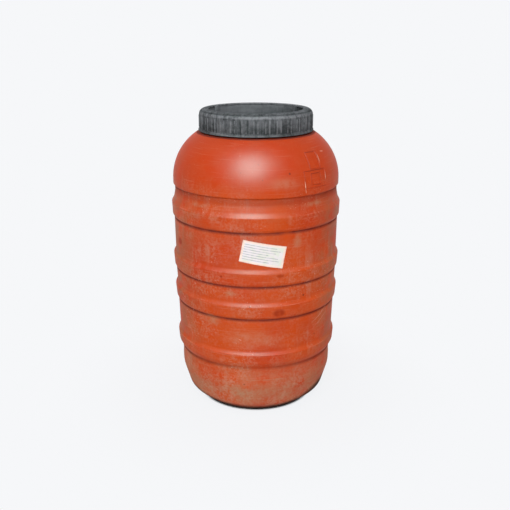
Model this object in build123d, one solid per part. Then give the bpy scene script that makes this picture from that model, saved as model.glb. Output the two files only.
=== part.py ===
from build123d import *
from math import asin, cos, degrees, radians, sin
import os

os.makedirs("parts", exist_ok=True)

# Wide-mouth storage drum with a screw ring and a dished inner lid.
# Millimetres. The drum stands on z = 0, with its axis on Z and its label facing -Y.
# Heights are stacked from the floor up, so a changed height lifts all that is above it.

# Drum: one blow-moulded shell. The insets are measured in from its widest hoop.
drum_radius = 292.9
shell_wall = 4.5
foot_width = 12.0  # the drum stands on a flat ring
foot_inner_round = 4.0
foot_outer_round = 8.0
push_up_run = 26.0  # the base is pushed in, so that only the foot ring touches the floor
push_up_height = 13.0
push_up_round = 12.0
weld_bead_gap = 18.0  # a bead crosses the base, where the mould pinched the tube shut
weld_bead_width = 4.0
weld_bead_height = 2.5
heel_height = 42.0
heel_run = 51.0
heel_round = 40.0
heel_inset = 48.9
tuck_height = 78.0  # the wall tucks in below the skirt
tuck_round = 90.0
skirt_inset = 25.0
skirt_height = 30.0
skirt_bulge = 0.6
skirt_round = 20.0
crease_height = 16.0
crease_depth = 0.9
upper_skirt_height = 28.0
upper_skirt_flare = 1.1

# Hoops, from the lowest up. Each has a step, a band that leans out, and a slope over it.
# "foot" and "crest" are how far the band stands out from the wall below and above it.
hoops = [
    {"step": 21.0, "band": 31.0, "slope": 10.0, "foot": 11.8, "crest": 7.8, "sharpness": 9.0},
    {"step": 11.0, "band": 36.0, "slope": 11.0, "foot": 6.0, "crest": 7.4, "sharpness": 2.5},
    {"step": 11.0, "band": 37.0, "slope": 10.5, "foot": 5.2, "crest": 7.9, "sharpness": 2.5},
    {"step": 10.0, "band": 40.0, "slope": 14.0, "foot": 5.8, "crest": 7.6, "sharpness": 2.5},
]
# Walls between the hoops, from the lowest up: inset at the low and the high end, and height
walls = [
    {"low": 17.6, "high": 13.4, "height": 118.0},
    {"low": 11.7, "high": 8.9, "height": 57.0},
    {"low": 8.9, "high": 7.4, "height": 123.5},
]
crest_round = 7.0
slope_round = 28.0  # each slope flares out of the wall above it

# Groove under the dome, the dome and the neck
groove_ease_height = 25.0
groove_ease = 4.5
groove_foot_round = 10.0
groove_height = 19.0
groove_inset = 12.1
lip_rise = 6.0
lip_height = 16.0
lip_round = 2.5
dome_inset = 6.4
dome_height = 155.0
shoulder_width = 25.0  # flat ledge round the foot of the neck
neck_height = 63.5
neck_radius = 175.0
neck_wall = 6.0
neck_root_round = 3.0

# Blank moulded frames on the dome. "along" and "up" place each one's middle.
frame_bearing = -46.5
frame_relief = 1.2
frame_line = 2.4
frames = [
    {"along": 3.0, "up": 88.0, "width": 50.0, "height": 52.0},
    {"along": -2.0, "up": 32.0, "width": 98.0, "height": 56.0},
    {"along": -2.0, "up": 32.0, "width": 46.0, "height": 38.0},
]

# Screw thread: single start, right hand
thread_lead = 20.0
thread_turns = 1.5
thread_crest_width = 4.0
thread_flank = 0.3  # half-width gained for each millimetre of depth
neck_thread_depth = 8.0
thread_clearance = 0.4  # between the flanks
thread_crest_play = 5.0  # from the neck thread's crest to the inside of the ring
thread_root_play = 3.0  # from the ring thread's crest to the neck
thread_foot_gap = 19.5  # from the shoulder up to the middle of the neck thread's start
thread_root_overlap = 1.0

# Gasket and inner lid
gasket_thickness = 3.7
gasket_inset = 0.5  # from the outside of the neck
seal_gap = 0.1
lid_rim_thickness = 5.0
lid_rim_round = 4.0
lid_mouth_round = 2.0
lid_wall = 4.0
lid_play = 2.5  # between the lid's dish and the inside of the neck
lid_draft = 2.0
lid_dish_depth = 54.0
lid_dish_round = 10.0
lid_floor_round = 6.0
lid_rib_count = 12
lid_rib_width = 3.5
lid_rib_height = 9.0
lid_hub_radius = 26.0
lid_hoop_radius = 96.0

# Screw ring
ring_wall = 5.0
ring_corner = 18.0
ring_mouth_lip = 2.5  # how far the flange reaches in over the lid's dish
ring_mouth_round = 1.5
ring_slip = 0.2  # between the ring's flange and the top of the lid
ring_foot_gap = 5.0
bead_height = 8.5
bead_relief = 2.8
bead_round = 2.0
grip_count = 32  # pairs of upright grip bars
grip_relief = 1.2
grip_width = 4.0
grip_pair_spacing = 13.0
grip_end_gap = 3.0
top_groove_radius = 1.1
top_groove_angle = 48.0  # up the ring's rounded corner
catch_count = 6
catch_arc = 24.0
catch_reach = 1.8  # under the lid's rim, so that the ring draws the lid out as it is unscrewed
catch_height = 4.0
catch_gap = 0.5
key_lug_count = 3  # lugs in the ring's mouth for a closing key
key_lug_bearing = 30.0
key_lug_width = 15.0
key_lug_reach = 7.0
key_lug_play = 1.5  # from a lug's back to the mouth of the lid's dish
key_lug_height = 20.0
key_lug_drop = 1.0
key_lug_round = 1.5

# Label
label_width = 143.0
label_height = 74.0
label_corner = 1.5
label_thickness = 0.35
label_glue = 0.2
label_bearing = -85.4
label_tilt = -11.0
label_up = 53.5  # from the foot of the top wall to the label's middle
label_reach = 10.0  # the label is drawn this far past its wall, and follows the hoop there

# Heights and radii worked out from the sizes above
heel_radius = drum_radius - heel_inset
foot_outer_radius = heel_radius - heel_run
foot_inner_radius = foot_outer_radius - foot_width
push_up_radius = foot_inner_radius - push_up_run
skirt_radius = drum_radius - skirt_inset
skirt_foot = heel_height + tuck_height
crease = skirt_foot + skirt_height + crease_height
hoop_feet = []
level = crease + upper_skirt_height
for hoop, wall_height in zip(hoops, [wall["height"] for wall in walls] + [0.0]):
    hoop_feet.append(level)
    level = level + hoop["step"] + hoop["band"] + hoop["slope"] + wall_height
groove_radius = drum_radius - groove_inset
groove_foot = level + groove_ease_height
groove_top = groove_foot + groove_height
neck_bore_radius = neck_radius - neck_wall
neck_thread_radius = neck_radius + neck_thread_depth
shoulder_radius = neck_radius + shoulder_width
dome_radius = drum_radius - dome_inset
dome_foot = groove_top + lip_rise + lip_height
dome_run = dome_radius - shoulder_radius
dome_curve = (dome_run**2 + dome_height**2) / (2 * dome_run)  # upright at the dome's foot
dome_centre_radius = dome_radius - dome_curve
shoulder = dome_foot + dome_height
neck_top = shoulder + neck_height
gasket_foot = neck_top + seal_gap
lid_rim_foot = gasket_foot + gasket_thickness
lid_top = lid_rim_foot + lid_rim_thickness
lid_floor = lid_top - lid_dish_depth
lid_radius = neck_bore_radius - lid_play
ring_ceiling = lid_top + ring_slip
ring_top = ring_ceiling + ring_wall
ring_foot = shoulder + ring_foot_gap
ring_bore_radius = neck_thread_radius + thread_crest_play
ring_radius = ring_bore_radius + ring_wall
ring_thread_radius = neck_radius + thread_root_play
ring_mouth_radius = lid_radius - lid_wall - ring_mouth_lip
corner_radius = ring_radius - ring_corner
corner_height = ring_top - ring_corner
lid_rim_radius = corner_radius + lid_rim_round
label_wall = walls[2]
label_wall_foot = hoop_feet[3] - label_wall["height"]


def revolved(face, arc=360.0):
    return revolve(face, axis=Axis.Z, revolution_arc=arc)


def section_face(*lines):
    """A face in the plane of the axis, from lines drawn as (radius, height)."""
    return Plane.XZ * make_face(Curve() + list(lines))


def section_block(inner, outer, low, high):
    """A rectangle in the plane of the axis, between two radii and two heights."""
    return section_face(Polyline((inner, low), (outer, low), (outer, high), (inner, high), close=True))


def bearing_plane(bearing, height):
    """A plane at the axis that faces outwards on a bearing, with its X to the viewer's right."""
    angle = radians(bearing)
    return Plane(
        (0, 0, height),
        x_dir=(-sin(angle), cos(angle), 0),
        z_dir=(cos(angle), sin(angle), 0),
    )


def side_corners(inset):
    """Corners of the drum's side, as (radius, height, rounding), from the foot to the groove."""
    corners = [
        (push_up_radius, push_up_height + inset, push_up_round),
        (foot_inner_radius + inset / 2, inset, foot_inner_round),
        (foot_outer_radius - inset / 2, inset, foot_outer_round),
        (heel_radius - inset, heel_height, heel_round),
        (skirt_radius - inset, skirt_foot, tuck_round),
        (skirt_radius + skirt_bulge - inset, skirt_foot + skirt_height, skirt_round),
        (skirt_radius + skirt_bulge - crease_depth - inset, crease, skirt_round),
    ]
    below = skirt_radius + upper_skirt_flare
    walls_above = walls + [{"low": groove_inset - groove_ease, "high": groove_inset}]
    for hoop, foot, wall in zip(hoops, hoop_feet, walls_above):
        band_foot = foot + hoop["step"]
        crest = band_foot + hoop["band"]
        corners += [
            (below - inset, foot, hoop["sharpness"]),
            (below + hoop["foot"] - inset, band_foot, hoop["sharpness"]),
            (drum_radius - wall["low"] + hoop["crest"] - inset, crest, crest_round),
            (drum_radius - wall["low"] - inset, crest + hoop["slope"], slope_round),
        ]
        below = drum_radius - wall["high"]
    corners += [
        (groove_radius - inset, groove_foot, groove_foot_round),
        (groove_radius - inset, groove_top, lip_round),
        (dome_radius - inset, groove_top + lip_rise, lip_round),
    ]
    return corners


def body_section(inset, neck):
    """Half the drum's outline, set in by a wall, with a neck of the given radius."""
    corners = side_corners(inset)
    points = [(0, push_up_height + inset)]
    points += [(radius, height) for radius, height, rounding in corners]
    points += [(dome_radius - inset, dome_foot)]
    side = FilletPolyline(points, radius=[rounding for radius, height, rounding in corners])
    curve = dome_curve - inset
    flat = shoulder - inset
    sweep_angle = degrees(asin((flat - dome_foot) / curve))
    dome = CenterArc((dome_centre_radius, dome_foot), curve, 0, sweep_angle)
    neck_line = FilletPolyline(
        [dome @ 1, (neck, flat), (neck, neck_top), (0, neck_top)],
        radius=[neck_root_round, 0],
    )
    axis_line = Line((0, neck_top), (0, push_up_height + inset))
    return section_face(side, dome, neck_line, axis_line)


def thread_ridge(root, crest, start_height):
    """A helical ridge between two radii. Its crest may lie outside or inside its root."""
    outward = 1 if crest > root else -1
    back = root - outward * thread_root_overlap
    half_crest = thread_crest_width / 2
    half_back = half_crest + abs(crest - back) * thread_flank
    ridge = Plane.XZ * make_face(
        Polyline(
            (back, -half_back),
            (crest, -half_crest),
            (crest, half_crest),
            (back, half_back),
            close=True,
        )
    )
    path = Helix(thread_lead, thread_lead * thread_turns, root)
    return Pos(0, 0, start_height) * sweep(ridge, path=path, is_frenet=True)


def frame_outline(frame):
    """A plain raised outline on the dome, cut from a layer that follows the dome."""
    plane = bearing_plane(frame_bearing, dome_foot + frame["up"])
    outer = Rectangle(frame["width"], frame["height"])
    inner = Rectangle(frame["width"] - 2 * frame_line, frame["height"] - 2 * frame_line)
    bars = plane * Pos(frame["along"], 0) * extrude(outer - inner, dome_radius + frame_relief)
    layer_outside = Circle(dome_curve + frame_relief)
    layer_inside = Circle(dome_curve - shell_wall / 2)
    layer = Pos(dome_centre_radius, dome_foot) * (layer_outside - layer_inside)
    slab = Pos(dome_centre_radius + dome_curve / 2, dome_foot + dome_height / 2)
    slab *= Rectangle(2 * dome_curve, dome_height)
    return bars & revolved(Plane.XZ * (layer & slab))


def make_drum_body():
    outside = body_section(0, neck_radius)
    inside = body_section(shell_wall, neck_bore_radius)
    body = revolved(outside - inside)
    body += thread_ridge(neck_radius, neck_thread_radius, shoulder + thread_foot_gap)
    bead = Box(2 * (push_up_radius - weld_bead_gap), weld_bead_width, weld_bead_height)
    body += Pos(0, 0, push_up_height - weld_bead_height / 2) * bead
    for frame in frames:
        body += frame_outline(frame)
    return body


def make_gasket():
    inner = neck_bore_radius - lid_play / 2
    outer = neck_radius - gasket_inset
    return revolved(section_block(inner, outer, gasket_foot, lid_rim_foot))


def make_inner_lid():
    foot = lid_floor - lid_wall
    outline = FilletPolyline(
        [
            (0, foot),
            (lid_radius - lid_draft, foot),
            (lid_radius, lid_rim_foot),
            (lid_rim_radius, lid_rim_foot),
            (lid_rim_radius, lid_top),
            (lid_radius - lid_wall, lid_top),
            (lid_radius - lid_draft - lid_wall, lid_floor),
            (0, lid_floor),
        ],
        radius=[lid_dish_round, 0, 0, lid_rim_round, lid_mouth_round, lid_floor_round],
    )
    lid = revolved(section_face(outline, Line((0, lid_floor), (0, foot))))
    rib_foot = lid_floor - lid_wall / 2
    rib_top = lid_floor + lid_rib_height
    rib_end = lid_radius - lid_draft - lid_wall / 2
    for radius in (lid_hub_radius, lid_hoop_radius):
        lid += revolved(section_block(radius - lid_rib_width, radius, rib_foot, rib_top))
    rib = Box(rib_end - lid_hub_radius + lid_rib_width / 2, lid_rib_width, rib_top - rib_foot)
    rib_middle = (rib_end + lid_hub_radius - lid_rib_width / 2) / 2
    rib = Pos(0, 0, (rib_foot + rib_top) / 2) * rib
    lid += [place * rib for place in PolarLocations(rib_middle, lid_rib_count)]
    return lid


def ring_shell():
    """The ring's skirt, rounded corner and flange, with a bead round its foot."""
    bead = FilletPolyline(
        [
            (ring_bore_radius, ring_foot),
            (ring_radius + bead_relief, ring_foot),
            (ring_radius + bead_relief, ring_foot + bead_height - bead_relief),
            (ring_radius, ring_foot + bead_height),
            (ring_radius, corner_height),
        ],
        radius=[bead_round, bead_round, bead_round],
    )
    corner = CenterArc((corner_radius, corner_height), ring_corner, 0, 90)
    mouth = FilletPolyline(
        [
            (corner_radius, ring_top),
            (ring_mouth_radius, ring_top),
            (ring_mouth_radius, ring_ceiling),
            (corner_radius, ring_ceiling),
        ],
        radius=[ring_mouth_round, ring_mouth_round],
    )
    inner_corner = CenterArc((corner_radius, corner_height), ring_corner - ring_wall, 0, 90)
    bore = Line((ring_bore_radius, corner_height), (ring_bore_radius, ring_foot))
    groove_middle = CenterArc((corner_radius, corner_height), ring_corner, 0, top_groove_angle) @ 1
    groove = Plane.XZ * Pos(groove_middle.X, groove_middle.Y) * Circle(top_groove_radius)
    return revolved(section_face(bead, corner, mouth, inner_corner, bore) - groove)


def grip_bars():
    """Upright bars in pairs round the ring's skirt."""
    low = ring_foot + bead_height + grip_end_gap
    high = corner_height - grip_end_gap
    depth = grip_relief + ring_wall / 2
    bar = Pos(ring_radius + grip_relief - depth / 2, 0, (low + high) / 2)
    bar *= Box(depth, grip_width, high - low)
    turn = degrees(grip_pair_spacing / 2 / ring_radius)
    pair = [Rot(0, 0, turn) * bar, Rot(0, 0, -turn) * bar]
    return [place * each for place in PolarLocations(0, grip_count) for each in pair]


def lid_catches():
    """Short arcs inside the ring that reach under the lid's rim."""
    high = lid_rim_foot - catch_gap
    low = high - catch_height
    section = section_block(lid_rim_radius - catch_reach, ring_bore_radius, low, high)
    catch = revolved(section, catch_arc)
    return [place * catch for place in PolarLocations(0, catch_count)]


def key_lugs():
    """Blocks that hang from the flange's edge into the ring's mouth."""
    inner = ring_mouth_radius - key_lug_reach
    outer = lid_radius - lid_wall - key_lug_play
    block = Box(outer - inner, key_lug_width, key_lug_height)
    block = fillet(block.edges().filter_by(Axis.Z), key_lug_round)
    block = Pos((inner + outer) / 2, 0, ring_top - key_lug_drop - key_lug_height / 2) * block
    places = PolarLocations(0, key_lug_count, start_angle=key_lug_bearing)
    return [place * block for place in places]


def make_screw_ring():
    ring = ring_shell()
    thread_drop = thread_crest_width + (neck_thread_radius - ring_thread_radius) * thread_flank
    thread_start = shoulder + thread_foot_gap - thread_drop - thread_clearance
    ring += thread_ridge(ring_bore_radius, ring_thread_radius, thread_start)
    ring += grip_bars()
    ring += lid_catches()
    ring += key_lugs()
    return ring


def make_label():
    """A paper label that follows the drum's side where it lies."""
    low = label_wall_foot - label_reach
    high = label_wall_foot + label_wall["height"]
    behind = body_section(-label_glue, neck_radius)
    front = body_section(-label_glue - label_thickness, neck_radius)
    layer = (front - behind) & section_block(groove_radius, drum_radius + label_reach, low, high)
    plane = bearing_plane(label_bearing, label_wall_foot + label_up)
    sheet = Rot(0, 0, label_tilt) * RectangleRounded(label_width, label_height, label_corner)
    return plane * extrude(sheet, drum_radius + label_reach) & revolved(layer)


makers = {
    "drum_body": make_drum_body,
    "gasket": make_gasket,
    "inner_lid": make_inner_lid,
    "screw_ring": make_screw_ring,
    "label": make_label,
}

for name, make in makers.items():
    export_step(make(), f"parts/{name}.step")
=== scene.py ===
import math
from functools import partialmethod

import bmesh
import bpy
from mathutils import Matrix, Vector, noise


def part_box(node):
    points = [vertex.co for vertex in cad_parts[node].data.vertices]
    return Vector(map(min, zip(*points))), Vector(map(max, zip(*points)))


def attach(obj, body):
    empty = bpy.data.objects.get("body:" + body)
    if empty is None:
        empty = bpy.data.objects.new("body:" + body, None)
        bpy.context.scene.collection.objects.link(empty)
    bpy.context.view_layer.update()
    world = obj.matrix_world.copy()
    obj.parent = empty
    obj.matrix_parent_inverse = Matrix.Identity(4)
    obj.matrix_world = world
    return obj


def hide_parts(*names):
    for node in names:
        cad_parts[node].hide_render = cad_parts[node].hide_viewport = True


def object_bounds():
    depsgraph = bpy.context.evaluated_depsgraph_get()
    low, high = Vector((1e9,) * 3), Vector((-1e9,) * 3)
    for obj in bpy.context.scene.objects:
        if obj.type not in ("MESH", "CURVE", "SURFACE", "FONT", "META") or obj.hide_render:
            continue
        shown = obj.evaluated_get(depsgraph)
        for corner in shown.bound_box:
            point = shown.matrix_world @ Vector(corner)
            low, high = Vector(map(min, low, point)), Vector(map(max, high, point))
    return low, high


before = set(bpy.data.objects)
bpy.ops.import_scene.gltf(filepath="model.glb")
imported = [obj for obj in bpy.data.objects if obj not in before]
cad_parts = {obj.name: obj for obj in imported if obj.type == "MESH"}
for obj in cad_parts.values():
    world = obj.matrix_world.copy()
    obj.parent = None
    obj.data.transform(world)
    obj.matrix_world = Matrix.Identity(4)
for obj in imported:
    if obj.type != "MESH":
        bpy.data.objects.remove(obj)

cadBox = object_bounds()
floorZ = cadBox[0].z

# helpers for meshes


def asObject(name, data):
    made = bpy.data.objects.new(name, data)
    bpy.context.scene.collection.objects.link(made)
    return made


def asMeshObject(name, points, faces):
    mesh = bpy.data.meshes.new(name)
    mesh.from_pydata([tuple(p) for p in points], [], faces)
    mesh.validate()
    return asObject(name, mesh)


def smoothShade(piece, sharpAngle=38.0, finish=None):
    mesh = piece.data
    if finish:
        mesh.materials.append(finish)
    mesh.polygons.foreach_set("use_smooth", [True] * len(mesh.polygons))
    mesh.set_sharp_from_angle(angle=math.radians(sharpAngle))
    mesh.update()
    return piece


def clip(value):
    return min(1.0, max(0.0, value))


def polar(radius, angle, z):
    return Vector((radius * math.cos(angle), radius * math.sin(angle), z))


def outwards(spot):
    return Vector((spot.x, spot.y, 0)).normalized()


def roundCorners(corners, stepDegrees=9.0, longest=0.012):
    # corners are (radius, height, rounding, tag); returns (radius, height, tag) along the line
    line = []
    for number, (r, z, rounding, tag) in enumerate(corners):
        here = Vector((r, z))
        if number in (0, len(corners) - 1) or rounding == 0:
            line.append((here, tag))
            continue
        before = Vector(corners[number - 1][:2])
        after = Vector(corners[number + 1][:2])
        goingIn = (here - before).normalized()
        goingOut = (after - here).normalized()
        turn = goingIn.angle(goingOut, 0.0)
        # the rounding takes up less than half of either side
        room = 0.48 * min((here - before).length, (after - here).length)
        reach = min(rounding * math.tan(turn / 2), room)
        start = here - goingIn * reach
        end = here + goingOut * reach
        steps = max(2, math.ceil(math.degrees(turn) / stepDegrees))
        for step in range(steps + 1):
            # a quadratic through the two tangents is close enough to the arc at these angles
            t = step / steps
            line.append((start * (1 - t) ** 2 + here * 2 * t * (1 - t) + end * t ** 2, tag))
    full = [line[0]]
    for (spot, tag), (last, lastTag) in zip(line[1:], line):
        pieces = max(1, math.ceil((spot - last).length / longest))
        for part in range(1, pieces + 1):
            full.append((last.lerp(spot, part / pieces), tag if part == pieces else ""))
    return [(spot.x, spot.y, tag) for spot, tag in full]


def softCorner(r, z, came, goes, tag=""):
    # three points that ease a square corner; came and goes point away from it along its two sides
    reach, near = 0.0015, 0.0004
    return [
        (r + came[0] * reach, z + came[1] * reach, tag),
        (r + (came[0] + goes[0]) * near, z + (came[1] + goes[1]) * near, tag),
        (r + goes[0] * reach, z + goes[1] * reach, tag),
    ]


def skinRings(name, rings, closed=False, capped=False):
    # a skin through rings of points; a ring of one point is a pole
    points = []
    loops = []
    for spots in rings:
        loops.append(list(range(len(points), len(points) + len(spots))))
        points += spots
    faces = []
    for low, high in zip(loops, loops[1:] + loops[:1] * closed):
        for n in range(max(len(low), len(high))):
            corners = [loop[k % len(loop)] for loop, k in ((low, n), (low, n + 1), (high, n + 1), (high, n))]
            faces.append(tuple(dict.fromkeys(corners)))
    if capped:
        faces += [tuple(reversed(loops[0])), tuple(loops[-1])]
    return asMeshObject(name, points, faces)


def spinLine(name, line, segments, closed=False, shift=None):
    # turns the points of a line round the axis into a skin with its faces outwards
    rings = []
    for r, z, *tag in line:
        steps = range(segments if r > 1e-6 else 1)
        spots = [polar(r, 2 * math.pi * step / segments, z) for step in steps]
        rings.append([shift(spot) for spot in spots] if shift else spots)
    return skinRings(name, rings, closed)


def spreadTags(line, segments, reaches, power=1.0):
    # for each tag, how near each point of the spun line is to a point that has it
    columns = {}
    for tag, reach in reaches.items():
        tagged = [(r, z) for r, z, given in line if given == tag]
        columns[tag] = []
        for r, z, given in line:
            near = min(math.hypot(r - a, z - b) for a, b in tagged)
            count = segments if r > 1e-6 else 1
            columns[tag] += [clip(1.0 - near / reach) ** power] * count
    return columns


def paintPoints(piece, name, values):
    layer = piece.data.attributes.new(name, "FLOAT", "POINT")
    layer.data.foreach_set("value", values)


def joinPieces(name, pieces):
    # one mesh out of several, each already closed
    with bpy.context.temp_override(active_object=pieces[0], selected_editable_objects=pieces):
        bpy.ops.object.join()
    pieces[0].name = name
    pieces[0].data.name = name
    return pieces[0]


# helpers for node trees


class Field:
    # one value in a node tree; arithmetic with it adds the nodes

    def __init__(self, socket):
        self.socket = socket
        self.tree = socket.id_data

    def apply(self, operation, second=0.0, clamp=False, first=None):
        values = {0: self if first is None else first, 1: second}
        return addField(self.tree, "ShaderNodeMath", values, operation=operation, use_clamp=clamp)

    def applyOn(self, operation, first):
        return self.apply(operation, self, first=first)

    __add__ = partialmethod(apply, "ADD")
    __sub__ = partialmethod(apply, "SUBTRACT")
    __mul__ = partialmethod(apply, "MULTIPLY")
    __truediv__ = partialmethod(apply, "DIVIDE")
    __rsub__ = partialmethod(applyOn, "SUBTRACT")
    __rtruediv__ = partialmethod(applyOn, "DIVIDE")
    smaller = partialmethod(apply, "MINIMUM")
    larger = partialmethod(apply, "MAXIMUM")
    clamped = partialmethod(apply, "ADD", 0.0, True)

    def parts(self):
        split = addNode(self.tree, "ShaderNodeSeparateXYZ", {0: self})
        return [Field(socket) for socket in split.outputs]

    def ramp(self, fromLow, fromHigh, toLow=0.0, toHigh=1.0):
        # a smooth step
        values = {"Value": self, "From Min": fromLow, "From Max": fromHigh, "To Min": toLow, "To Max": toHigh}
        return addField(self.tree, "ShaderNodeMapRange", values, interpolation_type="SMOOTHSTEP")

    def blend(self, first, second):
        # the first colour with this much of the second on it; 6, 7 and 2 are the colour sockets
        return addField(self.tree, "ShaderNodeMix", {0: self, 6: first, 7: second}, 2, data_type="RGBA")

    def noise(self, scale, detail=4.0, roughness=0.55, stretch=(1, 1, 1), away=(0, 0, 0)):
        values = {"Vector": self, "Scale": stretch, "Location": away}
        values = {"Vector": addField(self.tree, "ShaderNodeMapping", values)}
        values.update({"Scale": scale, "Detail": detail, "Roughness": roughness})
        return addField(self.tree, "ShaderNodeTexNoise", values)

    def bump(self, distance, strength, under=None):
        values = {"Height": self, "Distance": distance, "Strength": strength}
        if under:
            values["Normal"] = under
        return addField(self.tree, "ShaderNodeBump", values)


def feed(node, values):
    # sets the inputs of a node, or links the fields to them
    for key, value in values.items():
        if isinstance(value, Field):
            node.id_data.links.new(value.socket, node.inputs[key])
        else:
            node.inputs[key].default_value = value


def addNode(tree, kind, values=None, **settings):
    made = tree.nodes.new(kind)
    for key, value in settings.items():
        setattr(made, key, value)
    feed(made, values or {})
    return made


def addField(tree, kind, values=None, out=0, **settings):
    return Field(addNode(tree, kind, values, **settings).outputs[out])


def emptyTree(owner):
    owner.use_nodes = True
    owner.node_tree.nodes.clear()
    return owner.node_tree


def newMaterial(name):
    material = bpy.data.materials.new(name)
    tree = emptyTree(material)
    shader = addNode(tree, "ShaderNodeBsdfPrincipled")
    addNode(tree, "ShaderNodeOutputMaterial", {"Surface": Field(shader.outputs[0])})
    return material, tree, shader, addField(tree, "ShaderNodeTexCoord", out="Object")


def finishMaterial(shader, colour, roughness, specular, skin):
    values = {"Base Color": colour, "Roughness": roughness, "Specular IOR Level": specular}
    feed(shader, {**values, "Normal": skin})


def attributeFields(tree, *names):
    return [addField(tree, "ShaderNodeAttribute", out="Fac", attribute_name=name) for name in names]


def inLinear(*values):
    # a colour written as 0-255 values, made linear for a shader
    shares = [value / 255 for value in values]
    return (*(s / 12.92 if s <= 0.04045 else ((s + 0.055) / 1.055) ** 2.4 for s in shares), 1.0)


# finishes

drumLook = {
    "orange": inLinear(203, 70, 0),
    "deepOrange": inLinear(194, 54, 0),
    "chalk": inLinear(198, 150, 124),
    "dust": inLinear(176, 136, 104),
    "haze": inLinear(196, 150, 120),
    "brown": inLinear(140, 106, 72),
    # soil also stands for painted shade in the corners under the hoops, in the groove and round the neck
    "soil": inLinear(92, 8, 0),
    "rust": inLinear(160, 44, 0),
    "spot": inLinear(84, 34, 20),
    "scratch": inLinear(228, 176, 148),
    "domeShadeTone": inLinear(196, 57, 0),
    "footShade": inLinear(38, 22, 16),
    "roughness": 0.43,
    "duller": 0.06,
    "dullSpan": (0.68, 0.58),
    "specular": 0.07,
    "domeFoot": 0.80,
    "footTop": 0.033,
    "footLift": 0.80,
    "footLean": 0.90,
    "skirt": 0.20,
    "scratchWidth": 0.0016,
    "stainDepth": 0.05,
}
# tint, softness of the edge, how much shows at least and at most, and
# bearing, height and size (across, up) of each single stain
stains = [
    ("rust", 0.45, 0.45, 0.88, [
        (-74.5, 0.398, 0.027, 0.019),
        (-74.0, 0.528, 0.016, 0.008),
        (-113.0, 0.522, 0.007, 0.005),
        (64.0, 0.650, 0.030, 0.014),
        (205.0, 0.600, 0.022, 0.016),
    ]),
    ("dust", 0.0, 0.0, 0.46, [
        (-47.0, 0.752, 0.060, 0.013),
        (-131.0, 0.748, 0.050, 0.011),
        (-121.0, 0.360, 0.046, 0.030),
        (-108.0, 0.462, 0.034, 0.016),
        (-62.0, 0.640, 0.024, 0.040),
        # this thin pale band along the skirt's ridge in front is a painted highlight
        (-83.0, 0.149, 0.115, 0.0042),
        (-106.0, 0.100, 0.085, 0.036),
    ]),
    ("haze", 0.0, 0.08, 0.30, [(-72.0, 0.828, 0.085, 0.030), (-92.0, 0.302, 0.150, 0.046)]),
    ("orange", 0.0, 0.35, 0.70, [
        (-85.0, 0.684, 0.070, 0.026),
        (-84.5, 0.463, 0.070, 0.026),
        (-70.0, 0.655, 0.030, 0.040),
    ]),
    ("spot", 0.6, 0.3, 0.75, [
        (-56.0, 0.446, 0.0040, 0.0044),
        (-67.5, 0.858, 0.0040, 0.0042),
        (-94.0, 0.422, 0.0026, 0.0022),
        (-43.5, 0.288, 0.0048, 0.0036),
        (-98.5, 0.132, 0.0042, 0.0032),
        (18.0, 0.505, 0.0046, 0.0036),
        (118.0, 0.330, 0.0044, 0.0042),
        (150.0, 0.852, 0.0032, 0.0030),
    ]),
]
# bearing, height, length, lean and strength of single scratches
scratches = [
    (-39.5, 0.892, 0.040, -7.0, 0.85),
    (-31.5, 0.909, 0.026, 84.0, 0.85),
    (-37.2, 0.839, 0.036, -4.0, 0.85),
    (-56.6, 0.814, 0.044, 6.0, 0.85),
    (-56.0, 0.796, 0.014, 8.0, 0.70),
    (-101.0, 0.300, 0.014, 64.0, 0.70),
    (-39.0, 0.350, 0.110, -66.0, 0.46),
    (-36.0, 0.334, 0.120, -64.0, 0.40),
    (-34.0, 0.366, 0.080, -67.0, 0.36),
    (30.0, 0.700, 0.026, 50.0, 0.70),
    (130.0, 0.480, 0.030, -40.0, 0.70),
    (210.0, 0.330, 0.022, 75.0, 0.60),
]


def spotField(place, bearing, height, across, up, lean, softness):
    # 1 inside an oval patch of the drum's side and 0 outside it
    angle = math.radians(bearing)
    spot = polar(sideRadius(height), angle, height + floorZ)
    local = {"Vector": place, "Location": spot, "Rotation": (0.0, 0.0, angle)}
    local = addField(place.tree, "ShaderNodeMapping", local, vector_type="TEXTURE")
    size = (drumLook["stainDepth"], across, up)
    turned = {"Vector": local, "Rotation": (math.radians(lean), 0.0, 0.0), "Scale": size}
    turned = addField(place.tree, "ShaderNodeMapping", turned, vector_type="TEXTURE")
    gap = addField(place.tree, "ShaderNodeVectorMath", {0: turned}, "Value", operation="LENGTH")
    return gap.ramp(1.0, softness)


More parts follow.
